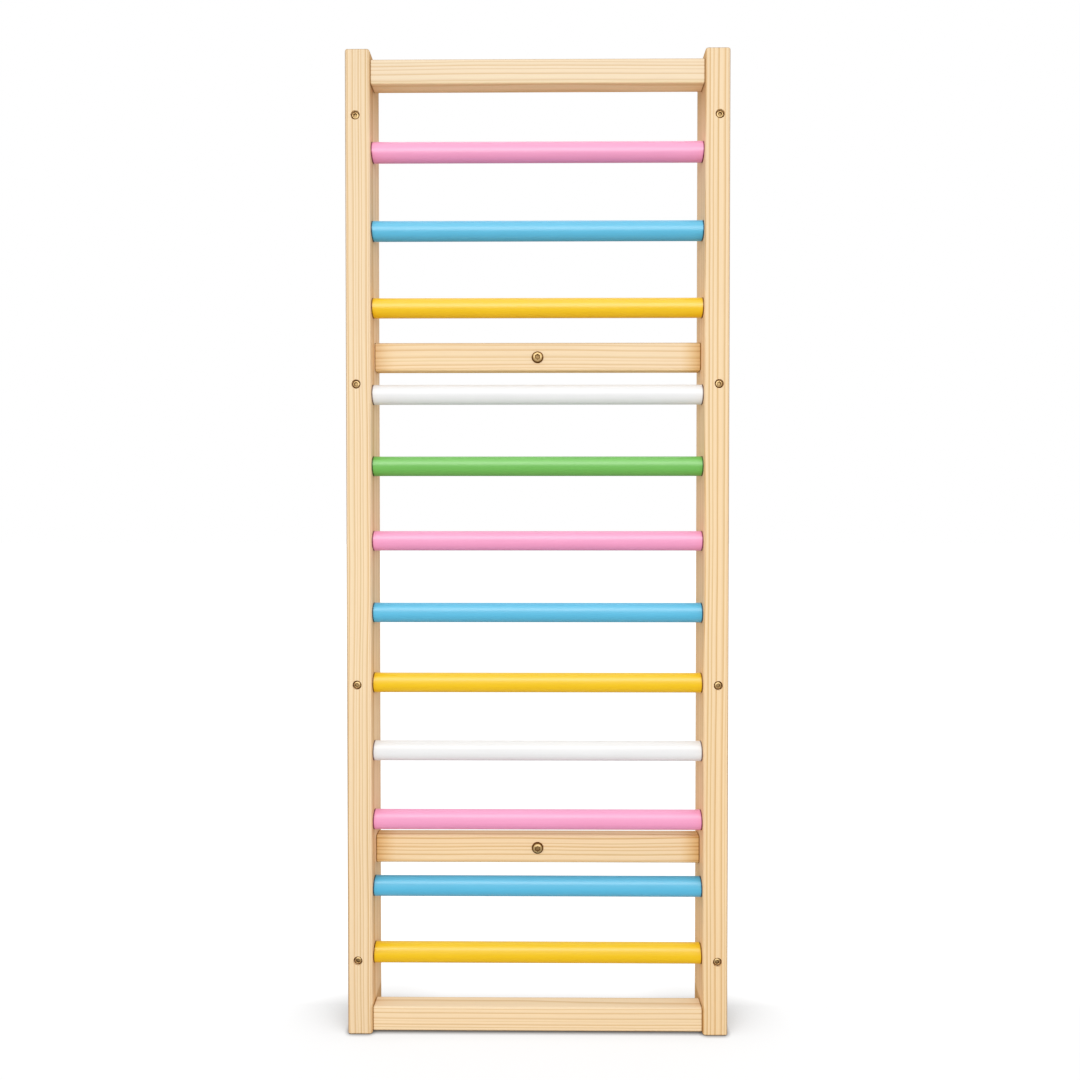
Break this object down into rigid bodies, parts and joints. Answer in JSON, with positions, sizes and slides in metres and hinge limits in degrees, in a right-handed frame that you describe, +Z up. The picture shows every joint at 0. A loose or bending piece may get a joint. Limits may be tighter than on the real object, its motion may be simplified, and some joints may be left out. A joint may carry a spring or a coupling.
{
  "type": "wall bars",
  "caption": "Climbing frame of pine posts joined by rails and round painted rungs, with brass bolts that fix it flat against a wall.",
  "frame": {"origin": "on the floor, under the middle of the frame's footprint", "axes": "+Z up along the posts, +Y to the back that lies on the wall, +X to the right seen from the front"},
  "size_m": [0.632, 0.08, 1.6286],
  "materials": {
    "pine": "planed pine, clear matt lacquer",
    "beech": "plain turned beech",
    "pink_paint": "satin pink paint on wood",
    "blue_paint": "satin sky blue paint on wood",
    "yellow_paint": "satin yellow paint on wood",
    "white_paint": "satin white paint on wood",
    "green_paint": "satin leaf green paint on wood",
    "brass": "lightly aged polished brass"
  },
  "bodies": {
    "root": {"left_post": "pine", "right_post": "pine", "bottom_rail": "pine", "top_rail": "pine", "lower_wall_rail": "pine", "upper_wall_rail": "pine", "rung_01": "yellow_paint", "rung_02": "blue_paint", "rung_03": "pink_paint", "rung_04": "white_paint", "rung_05": "yellow_paint", "rung_06": "blue_paint", "rung_07": "pink_paint", "rung_08": "green_paint", "rung_09": "white_paint", "rung_10": "yellow_paint", "rung_11": "blue_paint", "rung_12": "pink_paint", "bottom_rail_dowel_left_lower": "beech", "bottom_rail_dowel_left_upper": "beech", "bottom_rail_dowel_right_lower": "beech", "bottom_rail_dowel_right_upper": "beech", "top_rail_dowel_left_lower": "beech", "top_rail_dowel_left_upper": "beech", "top_rail_dowel_right_lower": "beech", "top_rail_dowel_right_upper": "beech", "lower_wall_rail_dowel_left_lower": "beech", "lower_wall_rail_dowel_left_upper": "beech", "lower_wall_rail_dowel_right_lower": "beech", "lower_wall_rail_dowel_right_upper": "beech", "upper_wall_rail_dowel_left_lower": "beech", "upper_wall_rail_dowel_left_upper": "beech", "upper_wall_rail_dowel_right_lower": "beech", "upper_wall_rail_dowel_right_upper": "beech", "left_post_bolt_1": "brass", "left_post_bolt_2": "brass", "left_post_bolt_3": "brass", "left_post_bolt_4": "brass", "right_post_bolt_1": "brass", "right_post_bolt_2": "brass", "right_post_bolt_3": "brass", "right_post_bolt_4": "brass", "lower_wall_rail_bolt": "brass", "upper_wall_rail_bolt": "brass"}
  },
  "joints": []
}
